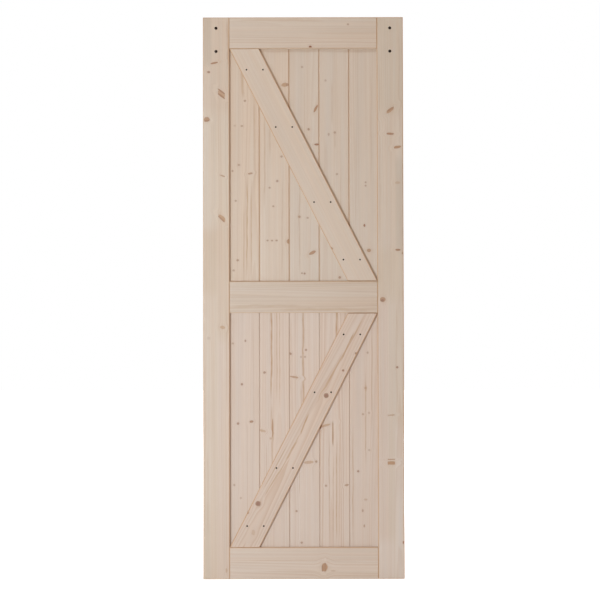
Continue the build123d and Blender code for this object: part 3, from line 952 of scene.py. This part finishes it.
def end_grain_and_rim_shade(g, colour, board, across, half_width):
    """Colour with the darker end grain, and with the painted warm shade at the rims and arrises of a
    board.
    """
    normal = g.add("ShaderNodeNewGeometry").outputs["Normal"]
    grain_axis = (math.sin(board.lean), 0, math.cos(board.lean))
    along_grain = g.calc("ABSOLUTE", g.vector("DOT_PRODUCT", normal, grain_axis))
    end_grain = g.calc("POWER", along_grain, END_GRAIN_POWER)
    colour = g.blend(g.calc("MULTIPLY", end_grain, END_GRAIN_SHARE), colour, LATE_WOOD * board.tint)
    facing = g.calc("ABSOLUTE", g.part(normal, 1))
    # Painted shade: a warm darker band along the board's long edges and on its arrises, none on its side
    # faces
    rim_shade = g.ramp(g.calc("ABSOLUTE", across), half_width - SHADE_RIM_WIDTH, half_width)
    rim_shade = g.calc("MAXIMUM", rim_shade, g.ramp(facing, *ARRIS_FACING_SHARES))
    rim_shade = g.calc("MULTIPLY", rim_shade, g.ramp(facing, *SIDE_FACING_SHARES))
    return g.blend(g.calc("MULTIPLY", rim_shade, board.edge), colour, ARRIS_SHADE * board.tint)


def spruce(name, board):
    """Bare sanded spruce for one board, with its own rings, knots and streaks."""
    low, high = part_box(name)
    middle = (low + high) / 2
    material, g, shader = new_material(f"spruce_{name}")
    place = g.add("ShaderNodeTexCoord").outputs["Object"]

    def to_board(point):
        """Place in the board's own axes: across the grain, through the board, along the grain."""
        inputs = {"Vector": point, "Location": middle, "Rotation": (0, board.lean, 0)}
        return g.add("ShaderNodeMapping", inputs, vector_type="TEXTURE").outputs[0]

    across = g.part(to_board(place), 0)
    stave = 0.0
    glue_line = 0.0
    if board.stave_line:
        glue_line = across_grain(face_point(*board.stave_line, low.y), middle, board.lean)
        past_line = g.calc("SUBTRACT", across, glue_line)
        stave = g.calc("FLOOR", g.calc("DIVIDE", past_line, board.stave_width))

    def stave_at(point):
        """Number of the stave that a point of the face lies in."""
        if not board.stave_line:
            return 0.0
        return math.floor((across_grain(point, middle, board.lean) - glue_line) / board.stave_width)

    knots = add_knots(g, place, stave, stave_at, name, low.y)
    grain_place = g.vector("ADD", place, knots["Push"]) if knots else place
    local = to_board(grain_place)

    if board.stave_line:
        seed = g.calc("MULTIPLY_ADD", stave, STAVE_SEED_STEP, board.seed)
        sideways = g.around(g.random(seed), 0.0, HEART_SIDE_SPREAD)
        own_depth = g.random(g.calc("ADD", seed, HEART_SEED_STEP))
        heart = g.join(sideways, g.around(own_depth, HEART_DEPTH, HEART_DEPTH_SPREAD))
    else:
        seed = board.seed
        heart = (*board.heart, 0)
    rings = g.group(RINGS, {
        "Local": local, "Heart": heart, "Taper": board.taper, "Ring width": board.ring, "Seed": seed,
    })
    fibre = g.stretched_noise(to_board(place), FIBRE_SCALE, detail=2.0)

    tone = wood_tone(g, local, rings, fibre)
    if board.stave_line:
        own_tone = g.random(g.calc("ADD", seed, TONE_SEED_STEP))
        tone = g.calc("MULTIPLY", tone, g.around(own_tone, 1.0, STAVE_SHARE))
    resin_and_head_shade = RESIN_AND_HEAD_SHADE * board.tint
    late_wood = g.calc("MULTIPLY", rings["Late"], board.contrast)
    colour = g.blend(late_wood, EARLY_WOOD * board.tint, LATE_WOOD * board.tint)
    colour = toned(g, colour, local, tone)
    colour = glued_lengths(g, place, colour, name, low.y)
    # Resin streaks and, on the upper planks, the painted shade under the top rail
    colour = g.blend(add_streaks(g, grain_place, name, low.y), colour, resin_and_head_shade)
    if knots:
        colour = knotted(g, colour, knots, resin_and_head_shade)
    half_width = max(abs(across_grain(v.co, middle, board.lean)) for v in nodes[name].data.vertices)
    colour = end_grain_and_rim_shade(g, colour, board, across, half_width)

    roughness = g.calc("MULTIPLY_ADD", rings["Late"], LATE_ROUGHNESS_SHARE, WOOD_ROUGHNESS)
    roughness = g.calc("MULTIPLY_ADD", fibre, FIBRE_ROUGHNESS_SHARE, roughness)
    # Painted shade: the inside of the bolt holes and screw counterbores is coloured almost black, as if
    # in deep shade
    bore_shade = bore_shade_mask(g, place, name)
    if bore_shade is not None:
        colour = g.blend(bore_shade, colour, BORE_SHADE)
        roughness = g.calc("MAXIMUM", bore_shade, roughness)
    g.put(shader.inputs["Base Color"], colour)
    g.put(shader.inputs["Roughness"], roughness)
    shader.inputs["Specular IOR Level"].default_value = WOOD_SPECULAR
    g.bump(shader, fibre, WOOD_BUMP_SHARE, BUMP_DEPTH)
    return material


def beech():
    """Pale beech with short dark flecks, for the dowels."""
    material, g, shader = new_material("beech")
    place = g.add("ShaderNodeTexCoord").outputs["Object"]
    fleck = g.stretched_noise(place, BEECH_FLECK_SCALE)
    cloud = g.noise(place, BEECH_CLOUD_SCALE, detail=2.0)
    colour = g.blend(g.ramp(fleck, *BEECH_FLECK_SHARES), BEECH_PALE, BEECH_FLECK)
    colour = g.blend(g.calc("MULTIPLY", cloud, BEECH_CLOUD_SHARE), colour, BEECH_FLECK)
    roughness = g.calc("MULTIPLY_ADD", fleck, BEECH_ROUGHNESS_SHARE, BEECH_ROUGHNESS)
    g.put(shader.inputs["Base Color"], colour)
    g.put(shader.inputs["Roughness"], roughness)
    g.bump(shader, fleck, BEECH_BUMP_SHARE, BUMP_DEPTH)
    return material


def phosphate():
    """Dark phosphate coat of the screws, worn a little."""
    material, g, shader = new_material("dark_phosphate")
    place = g.add("ShaderNodeTexCoord").outputs["Object"]
    grit = g.noise(place, SCREW_GRIT_SCALE, detail=3.0)
    worn = g.ramp(g.noise(place, SCREW_WEAR_SCALE, detail=2.0), *SCREW_WEAR_SHARES)
    g.put(shader.inputs["Base Color"], g.blend(worn, SCREW_DARK, SCREW_WORN))
    g.put(shader.inputs["Roughness"], g.around(grit, SCREW_ROUGHNESS, SCREW_ROUGHNESS_SPREAD))
    shader.inputs["Specular IOR Level"].default_value = SCREW_SPECULAR
    g.bump(shader, grit, SCREW_GRIT_SHARE, SCREW_GRIT_DEPTH)
    return material


def dress(name, material):
    """Give a solid of the frame its material."""
    slots = nodes[name].data.materials
    slots.clear()
    slots.append(material)


def screw_rings(top, point):
    """Outline of a screw from the floor of its drive to its point: depths, and radii for the angles."""
    angles = [2 * math.pi * index / SCREW_SEGMENTS for index in range(SCREW_SEGMENTS)]
    square = [SCREW_DRIVE_HALF / max(abs(math.cos(angle)), abs(math.sin(angle))) for angle in angles]
    seat = top + SCREW_HEAD_HEIGHT
    rings = [(top + SCREW_DRIVE_DEPTH, square), (top, square)]
    for depth, radius in (
        (top, SCREW_HEAD_RADIUS - SCREW_RIM),
        (top + SCREW_RIM, SCREW_HEAD_RADIUS),
        (seat, SCREW_HEAD_RADIUS),
        (seat, SCREW_CORE_RADIUS),
    ):
        rings.append((depth, [radius] * SCREW_SEGMENTS))
    step = SCREW_PITCH / SCREW_RINGS_PER_PITCH
    for index in range(1, int((point - seat) / step)):
        depth = seat + index * step
        taper = max(min((point - depth) / SCREW_POINT_LENGTH, 1.0), SCREW_TIP_SHARE)
        radii = []
        for angle in angles:
            turn = (depth - seat) / SCREW_PITCH - angle / (2 * math.pi)
            ridge = max(0.0, 1 - SCREW_RIDGE_SLOPE * abs(turn % 1.0 - 0.5))
            radii.append(taper * (SCREW_CORE_RADIUS + ridge * (SCREW_CREST_RADIUS - SCREW_CORE_RADIUS)))
        rings.append((depth, radii))
    rings.append((point, [SCREW_TIP_SHARE * SCREW_CORE_RADIUS] * SCREW_SEGMENTS))
    return angles, rings


def screws(name, material):
    """Threaded screws in place of a group of plain solid ones, on the same axes."""
    low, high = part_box(name)
    angles, rings = screw_rings(low.y, high.y)
    shape = bmesh.new()
    for x, z in screw_places(name):
        loops = []
        for depth, radii in rings:
            loop = []
            for angle, radius in zip(angles, radii):
                corner = (x + radius * math.cos(angle), depth, z + radius * math.sin(angle))
                loop.append(shape.verts.new(corner))
            loops.append(loop)
        for first, second in zip(loops, loops[1:]):
            for index in range(SCREW_SEGMENTS):
                shape.faces.new((first[index - 1], first[index], second[index], second[index - 1]))
        shape.faces.new(loops[0])
        shape.faces.new(loops[-1])
    bmesh.ops.recalc_face_normals(shape, faces=shape.faces)
    mesh = bpy.data.meshes.new(f"{name}_threaded")
    shape.to_mesh(mesh)
    shape.free()
    mesh.shade_smooth()
    mesh.set_sharp_from_angle(angle=SCREW_SHARP_ANGLE)
    mesh.materials.append(material)
    piece = bpy.data.objects.new(f"{name}_threaded", mesh)
    bpy.context.scene.collection.objects.link(piece)
    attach(piece, "root")
    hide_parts(name)


def camera_ray(g):
    """1 for what the camera sees straight on, or in a mirror, or through glass."""
    path = g.add("ShaderNodeLightPath").outputs
    seen = g.calc("MAXIMUM", path["Is Camera Ray"], path["Is Glossy Ray"])
    return g.calc("MAXIMUM", seen, path["Is Transmission Ray"])


def floor():
    """Pale floor under the door. It takes the door's shadow and fades to white away from it."""
    bpy.ops.mesh.primitive_plane_add(size=FLOOR_SIZE)
    plane = bpy.context.object
    plane.name = "floor"
    material = bpy.data.materials.new("pale_floor")
    material.use_nodes = True
    material.node_tree.nodes.clear()
    g = Graph(material.node_tree)
    place = g.add("ShaderNodeTexCoord").outputs["Object"]
    reach = g.vector("LENGTH", place)
    level = g.ramp(reach, FLOOR_NEAR_REACH, FLOOR_FAR_REACH, FLOOR_GLOW_NEAR, FLOOR_GLOW_FAR)
    strength = g.calc("MULTIPLY", level, camera_ray(g))
    glow = g.add("ShaderNodeEmission", {"Color": WHITE, "Strength": strength})
    matt = g.add("ShaderNodeBsdfDiffuse", {"Color": FLOOR_COLOUR})
    both = g.add("ShaderNodeAddShader", {0: glow.outputs[0], 1: matt.outputs[0]})
    output = g.add("ShaderNodeOutputMaterial")
    g.put(output.inputs["Surface"], both.outputs[0])
    plane.data.materials.append(material)


def world():
    """Soft light from all round, white in the picture."""
    sky = bpy.data.worlds.new("studio")
    bpy.context.scene.world = sky
    sky.use_nodes = True
    sky.node_tree.nodes.clear()
    g = Graph(sky.node_tree)
    seen = camera_ray(g)
    colour = g.blend(seen, WORLD_COLOUR, WHITE)
    strength = g.mix(seen, WORLD_LEVEL, 1.0)
    background = g.add("ShaderNodeBackground", {"Color": colour, "Strength": strength})
    output = g.add("ShaderNodeOutputWorld")
    g.put(output.inputs["Surface"], background.outputs[0])


def soft_lamp(name, place, size, level, colour, target=DOOR_MIDDLE):
    """Soft lamp, wide and tall as given, that faces a place on the door."""
    data = bpy.data.lights.new(name, "AREA")
    data.shape = "RECTANGLE"
    data.size, data.size_y = size
    data.color = colour
    aim = target - place
    data.energy = level * math.pi**2 * aim.length_squared
    lamp = bpy.data.objects.new(name, data)
    lamp.location = place
    lamp.rotation_euler = aim.to_track_quat("-Z", "Y").to_euler()
    lamp.visible_camera = False
    bpy.context.scene.collection.objects.link(lamp)


def camera():
    """Camera at the photograph's viewing angle."""
    data = bpy.data.cameras.new("camera")
    data.lens = LENS
    data.sensor_width = SENSOR_WIDTH
    eye = bpy.data.objects.new("camera", data)
    eye.location = CAMERA_PLACE
    right, up, ahead = camera_axes()
    eye.rotation_euler = Matrix((right, up, -ahead)).transposed().to_euler()
    bpy.context.scene.collection.objects.link(eye)
    bpy.context.scene.camera = eye


bpy.context.scene.view_settings.view_transform = "Standard"
for board_name, cut in BOARDS.items():
    dress(board_name, spruce(board_name, cut))
dowel_wood = beech()
screw_coat = phosphate()
for node_name in list(nodes):
    if node_name.endswith("_dowels"):
        dress(node_name, dowel_wood)
    elif node_name.endswith("_screws"):
        dress(node_name, screw_coat)
        screws(node_name, screw_coat)
floor()
world()
door_head = Vector((0, cad_box[0].y, cad_box[1].z))
soft_lamp("key", KEY_PLACE, KEY_SIZE, KEY_LEVEL, KEY_COLOUR)
soft_lamp("top", TOP_PLACE, TOP_SIZE, TOP_LEVEL, TOP_COLOUR, door_head)
soft_lamp("back", BACK_PLACE, BACK_SIZE, BACK_LEVEL, BACK_COLOUR)
soft_lamp("side", SIDE_PLACE, SIDE_SIZE, SIDE_LEVEL, SIDE_COLOUR)
camera()
